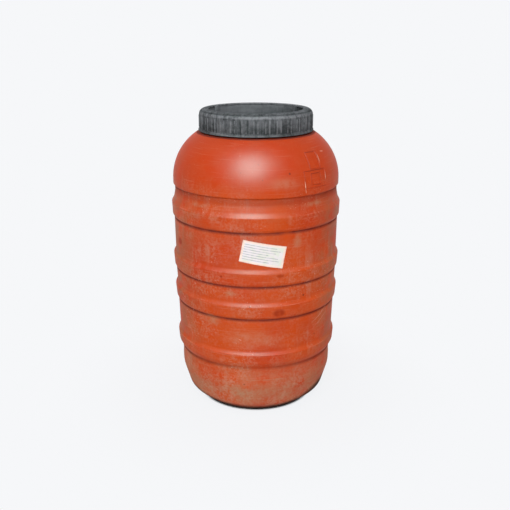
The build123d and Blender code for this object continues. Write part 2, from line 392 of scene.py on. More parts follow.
def makeDrumPlastic(look):
    material, tree, shader, place = newMaterial("drumPlastic")
    x, y, z = place.parts()
    height = z - floorZ
    grimeAndShade, wear, settle = attributeFields(tree, "grimeAndShade", "wear", "settle")
    patches = place.noise(7.0, 6.0, 0.58, away=(0.3, 0.1, 0.0))
    mottle = place.noise(34.0, 5.0, 0.62)
    grain = place.noise(120.0, 4.0, 0.66)

    # where dirt keeps: little on the dome, more down the walls and round the foot
    belowDome = height.ramp(look["domeFoot"] + 0.06, look["domeFoot"] - 0.10)
    nearFoot = height.ramp(look["skirt"] + 0.05, look["skirt"] - 0.11)
    # painted shade: a deeper red on the dome, where the light falls most
    domeShading = height.ramp(look["domeFoot"] - 0.03, look["domeFoot"] + 0.05, 0.0, 0.85)

    # thin chalky film, broken up by a fine grain, thinner on +X and under settled dust
    film = (grain * 0.62 + mottle * 0.38).ramp(0.43, 0.62) * (patches.ramp(0.40, 0.62) * 0.75 + 0.25)
    film = film * (belowDome * 0.31 + 0.02 - x * belowDome * 0.40 + nearFoot * 0.14)
    film = film * ((1.0 - settle).clamped() * 0.75 + 0.25)

    # tan dust in cloudy patches low down, with orange showing through
    foggy = place.noise(11.0, 6.0, 0.62, stretch=(1, 1, 1.5), away=(1.0, 4.0, 0.0))
    foggy = foggy.ramp(0.33, 0.60) * (nearFoot * 0.52 + 0.06) * grain.ramp(0.25, 0.60, 0.6, 1.0)

    # run-off streaks down the walls
    streaks = place.noise(44.0, 3.0, 0.5, stretch=(1, 1, 0.05)).ramp(0.54, 0.70)
    streaks = streaks * patches.ramp(0.40, 0.58) * (belowDome * 0.20 + 0.02)

    # brown dirt and painted shade towards the sides, away from the label
    aside = x.apply("ABSOLUTE").ramp(0.17, 0.285)
    sideSoilAndShade = place.noise(19.0, 5.0, 0.6, away=(0.0, 0.0, 3.0)).ramp(0.36, 0.62)
    sideSoilAndShade = sideSoilAndShade * (aside * 0.46 + 0.05) * (belowDome * 0.8 + 0.2)

    # scuffs round the drum from rolling, mostly on the crests
    scuffs = place.noise(9.0, 5.0, 0.62, stretch=(1, 1, 24)).ramp(0.57, 0.66) * (wear * 0.08 + 0.07)

    # soil and painted shade packed in the corners under the hoops, in the groove and round the neck
    packedSoilAndShade = (grimeAndShade * mottle.ramp(0.28, 0.60, 0.74, 0.96)).clamped()

    # painted shade on the heel: darkest where it meets the floor, and higher up at the sides, most on +X
    under = height - x * x * (x * look["footLean"] + look["footLift"]) + mottle * 0.014
    heelShade = under.ramp(look["footTop"] + 0.014, look["footTop"] - 0.016, 0.0, 0.92)

    darkSpecks = place.noise(120.0, 2.0, 0.5, away=(0.0, 7.0, 0.0)).ramp(0.735, 0.77) * 0.6
    paleSpecks = place.noise(170.0, 2.0, 0.5, away=(4.0, 0.0, 0.0)).ramp(0.66, 0.74)
    paleSpecks = paleSpecks * patches.ramp(0.45, 0.60) * (belowDome * 0.40 + 0.15)

    # the plastic itself, a little uneven in tone, and then each layer on the ones before it
    colour = place.noise(3.4, 3.0).ramp(0.35, 0.66).blend(look["orange"], look["deepOrange"])
    for amount, tint in (
        (domeShading, "domeShadeTone"),
        (film, "chalk"),
        (foggy, "dust"),
        (streaks, "chalk"),
        (sideSoilAndShade, "brown"),
        (scuffs, "scratch"),
        (packedSoilAndShade, "soil"),
        (heelShade, "footShade"),
        (darkSpecks, "spot"),
        (paleSpecks, "scratch"),
    ):
        colour = amount.blend(colour, look[tint])
    for tint, softness, least, most, spots in stains:
        for spot in spots:
            amount = spotField(place, *spot, 0.0, softness) * mottle.ramp(0.30, 0.58, least, most)
            colour = amount.blend(colour, look[tint])
    for bearing, level, length, lean, strength in scratches:
        line = spotField(place, bearing, level, look["scratchWidth"], length / 2, lean, 0.4)
        line = line * grain.ramp(0.30, 0.55, 0.4 * strength, strength)
        colour = line.blend(colour, look["scratch"])

    rough = film * 0.40 + foggy * 0.35 + packedSoilAndShade * 0.40 + heelShade * 0.50 + scuffs * 0.25 + look["roughness"]
    rough = (rough + height.ramp(*look["dullSpan"], 0.0, look["duller"])).clamped()
    skin = place.noise(24.0, 2.0, 0.5).bump(0.0010, 0.30)
    skin = place.noise(420.0, 3.0, 0.6).bump(0.0002, 0.5, skin)
    finishMaterial(shader, colour, rough, look["specular"], film.bump(0.0003, 0.5, skin))
    return material


ringLook = {
    "black": inLinear(46, 46, 48),
    "dust": inLinear(116, 117, 121),
    "paleWornLit": inLinear(150, 151, 155),
    "soil": inLinear(20, 19, 20),
    "roughness": 0.70,
    "specular": 0.05,
}
ringDust = {
    "dust": 0.41,
    "clouded": 0.34,
    "mottled": 0.26,
    "grained": 0.16,
    "streaked": 0.30,
    "paintedSideLight": -0.2,
    "worn": 0.62,
}
lidDust = {
    "dust": 0.72,
    "clouded": 0.30,
    "mottled": 0.20,
    "grained": 0.10,
    "streaked": 0.06,
    "paintedSideLight": -2.4,
    "worn": 0.30,
}


def makeDustyBlack(name, look, finish):
    material, tree, shader, place = newMaterial(name)
    x = place.parts()[0]
    grimeAndShade, wear, low, tone = attributeFields(tree, "grimeAndShade", "wear", "low", "tone")
    clouds = place.noise(11.0, 4.0, 0.55)
    mottle = place.noise(70.0, 5.0, 0.62)
    grain = place.noise(210.0, 4.0, 0.70)
    wide = place.noise(46.0, 3.0, 0.55, stretch=(1, 1, 0.07))
    narrow = place.noise(150.0, 3.0, 0.6, stretch=(1, 1, 0.06), away=(0.0, 2.0, 0.0))

    # settled dust: broad clouds and a fine grain on it, streaked where water runs down
    # the film is lighter towards -X: painted light, strongest in the lid's recess
    film = x * finish["paintedSideLight"] + tone * 0.30 - low * 0.34 + finish["dust"]
    for noisy, span, amount in (
        (clouds, 0.16, "clouded"),
        (mottle, 0.16, "mottled"),
        (grain, 0.18, "grained"),
        (wide, 0.12, "streaked"),
        (narrow, 0.12, "streaked"),
    ):
        film = film + noisy.ramp(0.5 - span, 0.5 + span, -0.5, 0.5) * finish[amount]
    film = film.clamped()
    colour = film.blend(look["black"], look["dust"])
    # paler where worn and where light is painted
    wornAndLit = wear * mottle.ramp(0.36, 0.58, 0.25, 1.0) * finish["worn"]
    colour = wornAndLit.blend(colour, look["paleWornLit"])
    # soil in the ring's top groove, painted shade where the tags say, and the painted shadow in the lid's
    # recess
    packedSoilAndShade = grimeAndShade * mottle.ramp(0.40, 0.60, 0.35, 0.95)
    colour = packedSoilAndShade.blend(colour, look["soil"])
    rough = (film * 0.2 + look["roughness"]).clamped()
    skin = grain.bump(0.0004, 0.6, mottle.bump(0.0010, 0.5))
    finishMaterial(shader, colour, rough, look["specular"], skin)
    return material


def makeFoam(name):
    material, tree, shader, place = newMaterial(name)
    cells = addField(tree, "ShaderNodeTexVoronoi", {"Vector": place, "Scale": 900.0})
    shade = cells.ramp(0.0, 0.7).blend(inLinear(38, 38, 40), inLinear(22, 22, 23))
    finishMaterial(shader, shade, 0.85, 0.08, cells.bump(0.0003, 0.6))
    return material


labelLook = {
    "paper": inLinear(239, 231, 233),
    "tint": inLinear(229, 230, 219),
    "border": inLinear(254, 228, 212),
    "ink": inLinear(132, 134, 146),
    "soil": inLinear(186, 150, 128),
    "rules": 9.0,
    "roughness": 0.78,
    "specular": 0.10,
}


def makeLabelPaper(look):
    material, tree, shader, place = newMaterial("labelPaper")
    across, upwards = addField(tree, "ShaderNodeUVMap", uv_map="sheet").parts()[:2]
    aged = place.noise(30.0, 3.0, 0.6)
    faded = place.noise(60.0, 4.0, 0.6)
    colour = aged.ramp(0.42, 0.62).blend(look["paper"], look["tint"])

    # margins of another tint
    inside = across.ramp(0.045, 0.050) * across.ramp(0.955, 0.950)
    inside = inside * upwards.ramp(0.075, 0.085) * upwards.ramp(0.925, 0.915)
    colour = ((1.0 - inside) * 0.85).blend(colour, look["border"])

    # plain rules of uneven length between the margins, in faded ink
    count = upwards * look["rules"]
    wave = count.apply("FRACT")
    rule = wave.ramp(0.36, 0.44) * wave.ramp(0.66, 0.58) * inside
    row = {"W": count.apply("FLOOR")}
    length = addField(tree, "ShaderNodeTexWhiteNoise", row, "Value", noise_dimensions="1D") * 0.30 + 0.62
    ink = rule * across.apply("LESS_THAN", length) * faded.ramp(0.30, 0.60, 0.30, 0.75)
    colour = ink.blend(colour, look["ink"])

    # soiled edges
    edge = across.smaller(1.0 - across).smaller(upwards.smaller(1.0 - upwards))
    worn = edge.ramp(0.05, 0.0) * faded.ramp(0.4, 0.65) * 0.5
    colour = worn.blend(colour, look["soil"])
    skin = place.noise(700.0, 3.0, 0.6).bump(0.0001, 0.4)
    finishMaterial(shader, colour, look["roughness"], look["specular"], skin)
    return material


# the drum's shell

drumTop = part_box("drum_body")[1].z
drum = {
    "radius": 0.2929,
    "wall": 0.0045,
    "footWidth": 0.012,
    "pushUpRun": 0.026,
    "pushUp": 0.013,
    "heelHeight": 0.042,
    "heelRun": 0.0510,
    "heelInset": 0.0489,
    "tuckHeight": 0.078,
    "skirtInset": 0.025,
    "skirtHeight": 0.030,
    "skirtBulge": 0.0006,
    "creaseHeight": 0.016,
    "creaseDepth": 0.0009,
    "upperSkirt": 0.028,
    "upperFlare": 0.0011,
    "easeHeight": 0.025,
    "ease": 0.0045,
    "grooveHeight": 0.019,
    "grooveInset": 0.0121,
    "lipRise": 0.006,
    "lipHeight": 0.016,
    "domeInset": 0.0064,
    "domeHeight": 0.155,
    "shoulderWidth": 0.025,
    "neckRadius": 0.175,
    "neckWall": 0.006,
    "neckRound": 0.006,
    "segments": 224,
    "wobble": 0.0007,
    "wobbleScale": 5.0,
    "ripple": 0.18,
    "rippleScale": 13.0,
    "trueTop": 0.03,
    "trueFoot": 0.04,
}
# step, band, slope, how far the foot and the crest stand out, rounding of the foot
hoops = [
    (0.021, 0.031, 0.010, 0.0118, 0.0078, 0.009),
    (0.011, 0.036, 0.011, 0.0060, 0.0074, 0.0025),
    (0.011, 0.037, 0.0105, 0.0052, 0.0079, 0.0025),
    (0.010, 0.040, 0.014, 0.0058, 0.0076, 0.0025),
]
# inset at the low and the high end, and height, of each wall between hoops
walls = [(0.0176, 0.0134, 0.118), (0.0117, 0.0089, 0.057), (0.0089, 0.0074, 0.1235)]
# soil and painted shade in the lowest hoop's corner and in the groove: the least in front, how much more at
# the sides, and the angle where that is reached; the painted shade about the groove's upper edge keeps its
# own share all round
cornerSoilAndShade = {
    "onHoop": (0.15, 0.75, 70),
    "hoopReach": 0.02,
    "inGroove": (0.20, 0.45, 60),
    "grooveReach": 0.05,
    "shade": 0.34,
    "shadeAbove": 0.006,
    "shadeBelow": 0.012,
    "shadeFade": 0.018,
}

# radii and heights that follow from them, from the base up
heelRadius = drum["radius"] - drum["heelInset"]
footOuter = heelRadius - drum["heelRun"]
footInner = footOuter - drum["footWidth"]
pushUpRadius = footInner - drum["pushUpRun"]
pushUpLevel = floorZ + drum["pushUp"]
skirtRadius = drum["radius"] - drum["skirtInset"]
skirtFoot = floorZ + drum["heelHeight"] + drum["tuckHeight"]
crease = skirtFoot + drum["skirtHeight"] + drum["creaseHeight"]
level = crease + drum["upperSkirt"]
hoopFeet = []
for hoop, wall in zip(hoops, walls + [(0, 0, 0)]):
    hoopFeet.append(level)
    level += sum(hoop[:3]) + wall[2]
grooveFoot = level + drum["easeHeight"]
grooveTop = grooveFoot + drum["grooveHeight"]
lip = grooveTop + drum["lipRise"]
domeFoot = lip + drum["lipHeight"]
shoulder = domeFoot + drum["domeHeight"]
domeRadius = drum["radius"] - drum["domeInset"]
domeRun = domeRadius - drum["neckRadius"] - drum["shoulderWidth"]
domeCurve = (domeRun ** 2 + drum["domeHeight"] ** 2) / (2 * domeRun)
domeCentre = domeRadius - domeCurve


def sideCorners(size, inset):
    base = size["radius"] - inset
    skirt = skirtRadius - inset
    bulge = skirt + size["skirtBulge"]
    corners = [
        (0.0, pushUpLevel + inset, 0, ""),
        (pushUpRadius, pushUpLevel + inset, 0.012, ""),
        (footInner + inset / 2, floorZ + inset, 0.004, ""),
        (footOuter - inset / 2, floorZ + inset, 0.008, "grimeAndShade"),
        (heelRadius - inset, floorZ + size["heelHeight"], 0.040, ""),
        (skirt, skirtFoot, 0.090, ""),
        # the skirt's ridge takes pale scuffs, a painted highlight along it
        (bulge, skirtFoot + size["skirtHeight"], 0.02, "wear"),
        (bulge - size["creaseDepth"], crease, 0.02, ""),
    ]
    below = skirt + size["upperFlare"]
    above = walls + [(size["grooveInset"] - size["ease"], size["grooveInset"], 0)]
    for hoop, foot, wall in zip(hoops, hoopFeet, above):
        step, band, slope, standOut, crestOut, sharpness = hoop
        corners += [
            (below, foot, sharpness, "grimeAndShade"),
            (below + standOut, foot + step, sharpness, ""),
            (base - wall[0] + crestOut, foot + step + band, 0.007, "wear"),
            (base - wall[0], foot + step + band + slope, 0.028, "settle"),
        ]
        below = base - wall[1]
    corners += [
        (base - size["grooveInset"], grooveFoot, 0.010, "settle"),
        (base - size["grooveInset"], grooveTop, 0.0025, "grimeAndShade"),
        (domeRadius - inset, lip, 0.0025, ""),
        (domeRadius - inset, domeFoot, 0, ""),
    ]
    return corners


def domeLine(inset, steps):
    curve = domeCurve - inset
    last = math.asin((shoulder - inset - domeFoot) / curve)
    line = []
    for step in range(1, steps + 1):
        angle = last * step / steps
        # the dome's last point takes the painted shade under the ring's bead
        tag = "grimeAndShade" if step == steps else ""
        line.append((domeCentre + curve * math.cos(angle), domeFoot + curve * math.sin(angle), tag))
    return line


def uneven(spot):
    # the blown wall isn't quite true; it only ever lies inside the drawn line
    broad = noise.noise(spot * drum["wobbleScale"])
    fine = noise.noise(spot * drum["rippleScale"] + Vector((3, 1, 7)))
    depth = drum["wobble"] * clip(0.5 + 0.5 * broad + drum["ripple"] * fine)
    depth *= clip((shoulder - spot.z) / drum["trueTop"]) * clip((spot.z - floorZ) / drum["trueFoot"])
    return spot - outwards(spot) * depth


def makeDrumBody(size):
    neck = size["neckRadius"]
    bore = neck - size["neckWall"]
    rim = [
        (neck + size["neckRound"], shoulder, ""),
        # painted shade under the ring's bead, at the neck's foot
        (neck + 0.0018, shoulder + 0.0009, "grimeAndShade"),
        (neck, shoulder + 0.004, "grimeAndShade"),
        *softCorner(neck, drumTop, (0, -1), (-1, 0)),
        *softCorner(bore, drumTop, (1, 0), (0, -1)),
        (bore, shoulder - size["wall"] + size["neckRound"], ""),
        (bore + size["neckRound"], shoulder - size["wall"], ""),
    ]
    inner = roundCorners(sideCorners(size, size["wall"]), 20.0, 0.03) + domeLine(size["wall"], 12)
    line = outline + rim + [(r, z, "") for r, z, tag in reversed(inner)]
    body = spinLine("drumShell", line, size["segments"], shift=uneven)
    # where soil and painted shade pack, where edges rub and light is painted, and where dust settles, spread
    # a little along the line
    reaches = {"grimeAndShade": 0.0040, "wear": 0.007, "settle": 0.014}
    for tag, values in spreadTags(line, size["segments"], reaches, 1.4).items():
        paintPoints(body, tag, values)
    fadeSoilAndShade(body, cornerSoilAndShade)
    return body


def fadeSoilAndShade(body, size):
    # the soil and painted shade in the lowest hoop's corner and in the groove under the dome are lighter in
    # front and darker at the sides
    soil = body.data.attributes["grimeAndShade"].data
    for vert in body.data.vertices:
        across = abs(math.degrees(math.atan2(vert.co.x, -vert.co.y)))
        least, more, angle = 1.0, 0.0, 1.0
        if abs(vert.co.z - hoopFeet[0]) < size["hoopReach"]:
            least, more, angle = size["onHoop"]
        elif grooveFoot < vert.co.z < domeFoot + size["grooveReach"]:
            least, more, angle = size["inGroove"]
        keeps = least + more * clip(across / angle)
        # painted shade all round the groove's upper part
        below = grooveTop - vert.co.z
        faded = max(-below / size["shadeAbove"], (below - size["shadeBelow"]) / size["shadeFade"], 0.0)
        soil[vert.index].value = max(size["shade"] * max(0.0, 1.0 - faded), keeps * soil[vert.index].value)


def sideRadius(height):
    # radius of the drum's outside at a height over the floor
    level = height + floorZ
    for (r, z, tag), (nextR, nextZ, nextTag) in zip(outside, outside[1:]):
        if z <= level < nextZ:
            return r + (nextR - r) * (level - z) / (nextZ - z)
    return drum["neckRadius"]


outline = roundCorners(sideCorners(drum, 0.0), 7.0, 0.010) + domeLine(0.0, 34)
outside = outline[[tag for r, z, tag in outline].index("grimeAndShade"):]
drumPlastic = makeDrumPlastic(drumLook)
ringPlastic = makeDustyBlack("ringPlastic", ringLook, ringDust)
lidPlastic = makeDustyBlack("lidPlastic", ringLook, lidDust)
gasketFoam = makeFoam("gasketFoam")
labelPaper = makeLabelPaper(labelLook)
print("finishes made")

drumShell = smoothShade(makeDrumBody(drum), finish=drumPlastic)
print("drum shell:", len(drumShell.data.polygons), "faces")

# trees of geometry nodes: a ridge along a helix, and copies round the axis

thread = {
    "lead": 0.020,
    "turns": 1.5,
    "steps": 96,
    "crestWidth": 0.004,
    "flank": 0.3,
    "neckDepth": 0.008,
    "ringDepth": 0.010,
    "sunk": 0.001,
    "clearance": 0.0004,
    "startUp": 0.0195,
    "runOut": 0.03,
}


def namedTree(name, inputs):
    tree = bpy.data.node_groups.new(name, "GeometryNodeTree")
    for socketName, kind in inputs.items():
        tree.interface.new_socket(socketName, in_out="INPUT", socket_type="NodeSocket" + kind)
    tree.interface.new_socket("Geometry", in_out="OUTPUT", socket_type="NodeSocketGeometry")
    given = addNode(tree, "NodeGroupInput").outputs
    return tree, {socketName: Field(given[socketName]) for socketName in inputs}


def closeTree(tree, geometry, finish):
    real = addField(tree, "GeometryNodeRealizeInstances", {"Geometry": geometry})
    finished = addField(tree, "GeometryNodeSetMaterial", {"Geometry": real, "Material": finish})
    addNode(tree, "NodeGroupOutput", {0: finished})
    return tree


def makeThreadTree():
    sizes = ("Turns", "Root Radius", "Lead", "Foot", "Root Width", "Crest Width", "Depth", "Side", "Run Out")
    tree, given = namedTree("threadRidge", {**dict.fromkeys(sizes, "Float"), "Finish": "Material"})
    root = given["Root Radius"]
    middle = root + given["Depth"] * given["Side"] * 0.5
    spiral = {"Rotations": given["Turns"], "Height": given["Lead"] * given["Turns"], "Reverse": True}
    spiral.update({"Start Radius": middle, "End Radius": middle, "Resolution": thread["steps"]})
    helix = addField(tree, "GeometryNodeCurveSpiral", spiral)
    upright = addField(tree, "GeometryNodeSetCurveNormal", {"Curve": helix}, mode="Z_UP")
    along = addField(tree, "GeometryNodeSplineParameter", out="Factor")
    ends = {"Geometry": upright, "Name": "fromEnd", "Value": along.smaller(1.0 - along)}
    marked = addField(tree, "GeometryNodeStoreNamedAttribute", ends, data_type="FLOAT", domain="POINT")
    widths = {"Bottom Width": given["Root Width"], "Top Width": given["Crest Width"], "Offset": 0.0}
    widths["Height"] = given["Depth"]
    section = addField(tree, "GeometryNodeCurvePrimitiveQuadrilateral", widths, mode="TRAPEZOID")
    spin = addField(tree, "ShaderNodeCombineXYZ", {"Z": given["Side"] * (math.pi / 2)})
    turned = addField(tree, "GeometryNodeTransform", {"Geometry": section, "Rotation": spin})
    swept = {"Curve": marked, "Profile Curve": turned, "Fill Caps": True}
    ridge = addField(tree, "GeometryNodeCurveToMesh", swept)

    # at both ends the crest runs down to the wall
    end = addField(tree, "GeometryNodeInputNamedAttribute", {"Name": "fromEnd"}, data_type="FLOAT")
    x, y, z = addField(tree, "GeometryNodeInputPosition").parts()
    radius = (x * x + y * y).apply("SQRT")
    scaled = (root + (radius - root) * end.ramp(0.0, given["Run Out"], 0.12, 1.0)) / radius
    moved = addField(tree, "ShaderNodeCombineXYZ", {"X": x * scaled, "Y": y * scaled, "Z": z + given["Foot"]})
    placed = addField(tree, "GeometryNodeSetPosition", {"Geometry": ridge, "Position": moved})
    cleaned = addField(tree, "GeometryNodeRemoveAttribute", {"Geometry": placed, "Name": "fromEnd"})
    return closeTree(tree, cleaned, given["Finish"])


def makeRoundTree():
    # copies of the object's own mesh round the axis, in groups, each with its own tone
    kinds = {"Geometry": "Geometry", "Groups": "Int", "Per Group": "Int", "Seed": "Int"}
    kinds.update({"Group Spacing": "Float", "Start": "Float", "Finish": "Material"})
    tree, given = namedTree("roundTheAxis", kinds)
    each = given["Per Group"]
    spots = addField(tree, "GeometryNodePoints", {"Count": given["Groups"] * each})
    index = addField(tree, "GeometryNodeInputIndex")
    within = index.apply("FLOORED_MODULO", each)
    group = (index - within) / each
    aside = (within - (each - 1.0) * 0.5) * given["Group Spacing"]
    angle = group * (2 * math.pi / given["Groups"]) + given["Start"] + aside
    turn = addField(tree, "ShaderNodeCombineXYZ", {"Z": angle})
    toned = addField(tree, "FunctionNodeRandomValue", {"Seed": given["Seed"]}, "Value", data_type="FLOAT")
    placed = {"Points": spots, "Instance": given["Geometry"], "Rotation": turn}
    copies = addField(tree, "GeometryNodeInstanceOnPoints", placed)
    tones = {"Geometry": copies, "Name": "tone", "Value": toned}
    marked = addField(tree, "GeometryNodeStoreNamedAttribute", tones, data_type="FLOAT", domain="INSTANCE")
    return closeTree(tree, marked, given["Finish"])


def growFrom(tree, name, values, start=None):
    # runs a tree on an object with those inputs, and keeps what it makes as a plain mesh
    piece = start or asMeshObject(name, [], [])
    modifier = piece.modifiers.new(name, "NODES")
    modifier.node_group = tree
    for socket in tree.interface.items_tree:
        if socket.in_out == "INPUT" and socket.name in values:
            modifier[socket.identifier] = values[socket.name]
    bpy.context.view_layer.update()
    depsgraph = bpy.context.evaluated_depsgraph_get()
    evaluated = piece.evaluated_get(depsgraph)
    plain = bpy.data.meshes.new_from_object(evaluated, preserve_all_data_layers=True, depsgraph=depsgraph)
    piece.modifiers.clear()
    piece.data = plain
    piece.name = name
    piece.data.name = name
    return piece


threadTree = makeThreadTree()
roundTree = makeRoundTree()


def copyRound(name, one, finish, groups, seed, start=0.0, perGroup=1, spacing=0.0):
    values = {"Groups": groups, "Per Group": perGroup, "Group Spacing": spacing, "Start": start}
    values.update({"Seed": seed, "Finish": finish})
    return growFrom(roundTree, name, values, one)


def makeThread(name, wallRadius, depth, side, middle, finish):
    full = depth + thread["sunk"]
    values = {
        "Turns": thread["turns"],
        "Root Radius": wallRadius - side * thread["sunk"],
        "Lead": thread["lead"],
        "Foot": middle,
        "Root Width": thread["crestWidth"] + 2 * thread["flank"] * full,
        "Crest Width": thread["crestWidth"],
        "Depth": full,
        "Side": side,
        "Run Out": thread["runOut"],
        "Finish": finish,
    }
    return growFrom(threadTree, name, values)


threadFoot = shoulder + thread["startUp"]
neckThread = makeThread("neckThread", drum["neckRadius"], thread["neckDepth"], 1.0, threadFoot, drumPlastic)
print("neck thread:", [round(v, 4) for v in neckThread.dimensions])

# blank frames moulded on the dome

dome = {
    "bearing": -46.5,
    "relief": 0.0012,
    "line": 0.0024,
    "taper": 0.0005,
    "sunk": 0.0015,
    "step": 0.004,
    "wear": 0.4,
    "upperBarShade": 0.42,
    "soilLow": 0.22,
}
# along, up, width and height of each frame
frames = [(0.003, 0.088, 0.050, 0.052), (-0.002, 0.032, 0.098, 0.056), (-0.002, 0.032, 0.046, 0.038)]


def onBearing(bearing, across, radius, z):
    # the point of a round surface straight behind a place on a flat drawing held on that bearing
    return polar(radius, math.radians(bearing) + math.asin(across / radius), z)


def domeRadiusAt(z, lift):
    return domeCentre + math.sqrt((domeCurve + lift) ** 2 - (z - domeFoot) ** 2)


def makeFrame(size, along, up, width, height):
    acrossSteps = max(2, round(width / size["step"]))
    upSteps = max(2, round(height / size["step"]))
    edge = [(-1 + 2 * n / acrossSteps, -1) for n in range(acrossSteps)]
    edge += [(1, -1 + 2 * n / upSteps) for n in range(upSteps)]
    edge += [(-u, -v) for u, v in edge]
    line, taper, relief = size["line"], size["taper"], size["relief"]
    profile = [(0.0, -size["sunk"]), (0.0, relief / 2), (taper, relief)]
    profile += [(line - inset, lift) for inset, lift in reversed(profile)]
    rings = []
    for inset, lift in profile:
        spots = []
        for u, v in edge:
            z = domeFoot + up + v * (height / 2 - inset)
            across = along + u * (width / 2 - inset)
            spots.append(uneven(onBearing(size["bearing"], across, domeRadiusAt(z, lift), z)))
        rings.append(spots)
    made = skinRings("oneFrame", rings, closed=True)
    # painted shadow darkens the upper bars most, over a little soil on all bars
    soil = [size["upperBarShade"] if v > 0.99 else size["soilLow"] for u, v in edge]
    paintPoints(made, "grimeAndShade", soil * len(rings))
    paintPoints(made, "wear", [size["wear"]] * len(soil) * len(rings))
    return smoothShade(made, 30, drumPlastic)


domeFrames = joinPieces("domeFrames", [makeFrame(dome, *one) for one in frames])
print("dome frames:", len(domeFrames.data.polygons), "faces")

# bead across the base, where the mould pinched the tube shut

bead = {
    "gap": 0.018,
    "width": 0.004,
    "height": 0.0025,
    "buried": 0.002,
    "bow": 0.0004,
    "bowRate": 70,
    "steps": 40,
}


def makeBaseBead(size):
    reach = pushUpRadius - size["gap"]
    half, height = size["width"] / 2, size["height"]
    section = [(-half, size["buried"]), (-half, -height / 2), (-half / 2, -height)]
    section += [(-y, z) for y, z in reversed(section)]
    rings = []
    for n in range(size["steps"] + 1):
        x = -reach + 2 * reach * n / size["steps"]
        bow = size["bow"] * math.sin(x * size["bowRate"])
        rings.append([Vector((x, y + bow, pushUpLevel + z)) for y, z in section])
    return smoothShade(skinRings("baseBead", rings, capped=True), finish=drumPlastic)


baseBead = makeBaseBead(bead)

# the closure: an inner lid over a gasket, held by the screw ring

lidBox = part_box("inner_lid")
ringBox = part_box("screw_ring")
lid = {
    "rim": 0.005,
    "rimRound": 0.004,
    "rimSoft": 0.0008,
    "mouthRound": 0.002,
    "wall": 0.004,
    "play": 0.0025,
    "draft": 0.002,
    "depth": 0.054,
    "dishRound": 0.010,
    "floorRound": 0.006,
    "ribs": 12,
    "ribWidth": 0.0035,
    "ribHeight": 0.009,
    "ribSoft": 0.0006,
    "hub": 0.026,
    "hoop": 0.096,
    "segments": 192,
    "hoopSegments": 120,
    "shadowBearing": 17.0,
    "shadowReach": 19.0,
    "shadowDrop": 0.022,
    "paintedShadow": 1.6,
}
ring = {
    "wall": 0.005,
    "crestPlay": 0.005,
    "rootPlay": 0.003,
    "corner": 0.018,
    "mouthLip": 0.0025,
    "beadHeight": 0.0085,
    "beadRelief": 0.0028,
    "beadRound": 0.002,
    "beadSlope": (0.0028, 0.0008),
    "soft": 0.0006,
    "sideSteps": 10,
    "cornerSteps": 30,
    "grooveAngle": 48.0,
    "grooveRadius": 0.0011,
    "grooveRoom": 1.2,
    "grooveSteps": 8,
    "grooveSoil": 0.6,
    "wornLitFrom": 14,
    "wornLitTo": 32,
    "wornLitBehind": 0.35,
    "ceilingSteps": 8,
    "lowReach": 0.024,
    "gripPairs": 32,
    "gripRelief": 0.0012,
    "gripSunk": 0.002,
    "gripWidth": 0.004,
    "gripSpacing": 0.013,
    "gripEnds": 0.003,
    "catches": 6,
    "catchArc": 24.0,
    "catchSteps": 16,
    "catchReach": 0.0018,
    "catchHeight": 0.004,
    "catchPlay": 0.0005,
    "catchSoft": 0.0005,
    "catchSunk": 0.001,
    "lugs": 3,
    "lugBearing": 30.0,
    "lugWidth": 0.015,
    "lugReach": 0.007,
    "lugPlay": 0.0015,
    "lugHeight": 0.020,
    "lugDrop": 0.001,
    "lugSoft": 0.0014,
    "segments": 208,
    "wobble": 0.0004,
    "wobbleScale": 9.0,
    "paleBehind": 1.6,
}
lidTop = lidBox[1].z
lidRadius = drum["neckRadius"] - drum["neckWall"] - lid["play"]
lidMouth = lidRadius - lid["wall"]
lidFloor = lidTop - lid["depth"]
ringMouth = lidMouth - ring["mouthLip"]
ringFoot = ringBox[0].z
ringTop = ringBox[1].z
ringBore = drum["neckRadius"] + thread["neckDepth"] + ring["crestPlay"]
ringSide = ringBore + ring["wall"]
beadTop = ringFoot + ring["beadHeight"]
cornerRadius = ringSide - ring["corner"]
cornerHeight = ringTop - ring["corner"]


def cornerSpot(angle, lift, tag):
    reach = ring["corner"] + lift
    turn = math.radians(angle)
    return cornerRadius + reach * math.cos(turn), cornerHeight + reach * math.sin(turn), tag


def ringLine(size):
    soft = size["soft"]
    bead = ringSide + size["beadRelief"]
    line = [
        (ringBore, ringFoot + soft, "grimeAndShade"),
        (ringBore + soft, ringFoot, ""),
        (bead - size["beadRound"], ringFoot, "grimeAndShade"),
        (bead - soft, ringFoot + soft, ""),
        (bead, ringFoot + size["beadRound"], "wear"),
        (bead, ringFoot + 2 * size["beadRound"], ""),
        (bead - soft, beadTop - size["beadSlope"][0], ""),
        (ringSide + soft, beadTop - size["beadSlope"][1], ""),
    ]
    for n in range(size["sideSteps"]):
        line.append((ringSide, beadTop + (cornerHeight - beadTop) * n / size["sideSteps"], ""))

    # the rounded corner, with a fine groove let into it
    half = math.degrees(size["grooveRadius"] / size["corner"])
    corner = []
    for n in range(size["cornerSteps"] + 1):
        angle = 90 * n / size["cornerSteps"]
        if abs(angle - size["grooveAngle"]) > half + size["grooveRoom"]:
            # part of the rounding is paler: wear, and a painted highlight where the light catches it
            wornAndLit = size["wornLitFrom"] < angle < size["wornLitTo"]
            corner.append((angle, 0.0, "wear" if wornAndLit else ""))
    for n in range(size["grooveSteps"] + 1):
        turn = math.pi * n / size["grooveSteps"]
        angle = size["grooveAngle"] - half * math.cos(turn)
        corner.append((angle, -size["grooveRadius"] * math.sin(turn), "groove"))
    line += [cornerSpot(*spot) for spot in sorted(corner)]

    ceiling = ringTop - size["wall"]
    line += [((cornerRadius + ringMouth) / 2, ringTop, "top")]
    line += softCorner(ringMouth, ringTop, (1, 0), (0, -1), "top")
    line += softCorner(ringMouth, ceiling, (0, 1), (1, 0))
    steps = size["ceilingSteps"]
    line += [cornerSpot(90 - 90 * n / steps, -size["wall"], "") for n in range(steps + 1)]
    line += [(ringBore, (cornerHeight + ringFoot) / 2, "")]
    return line


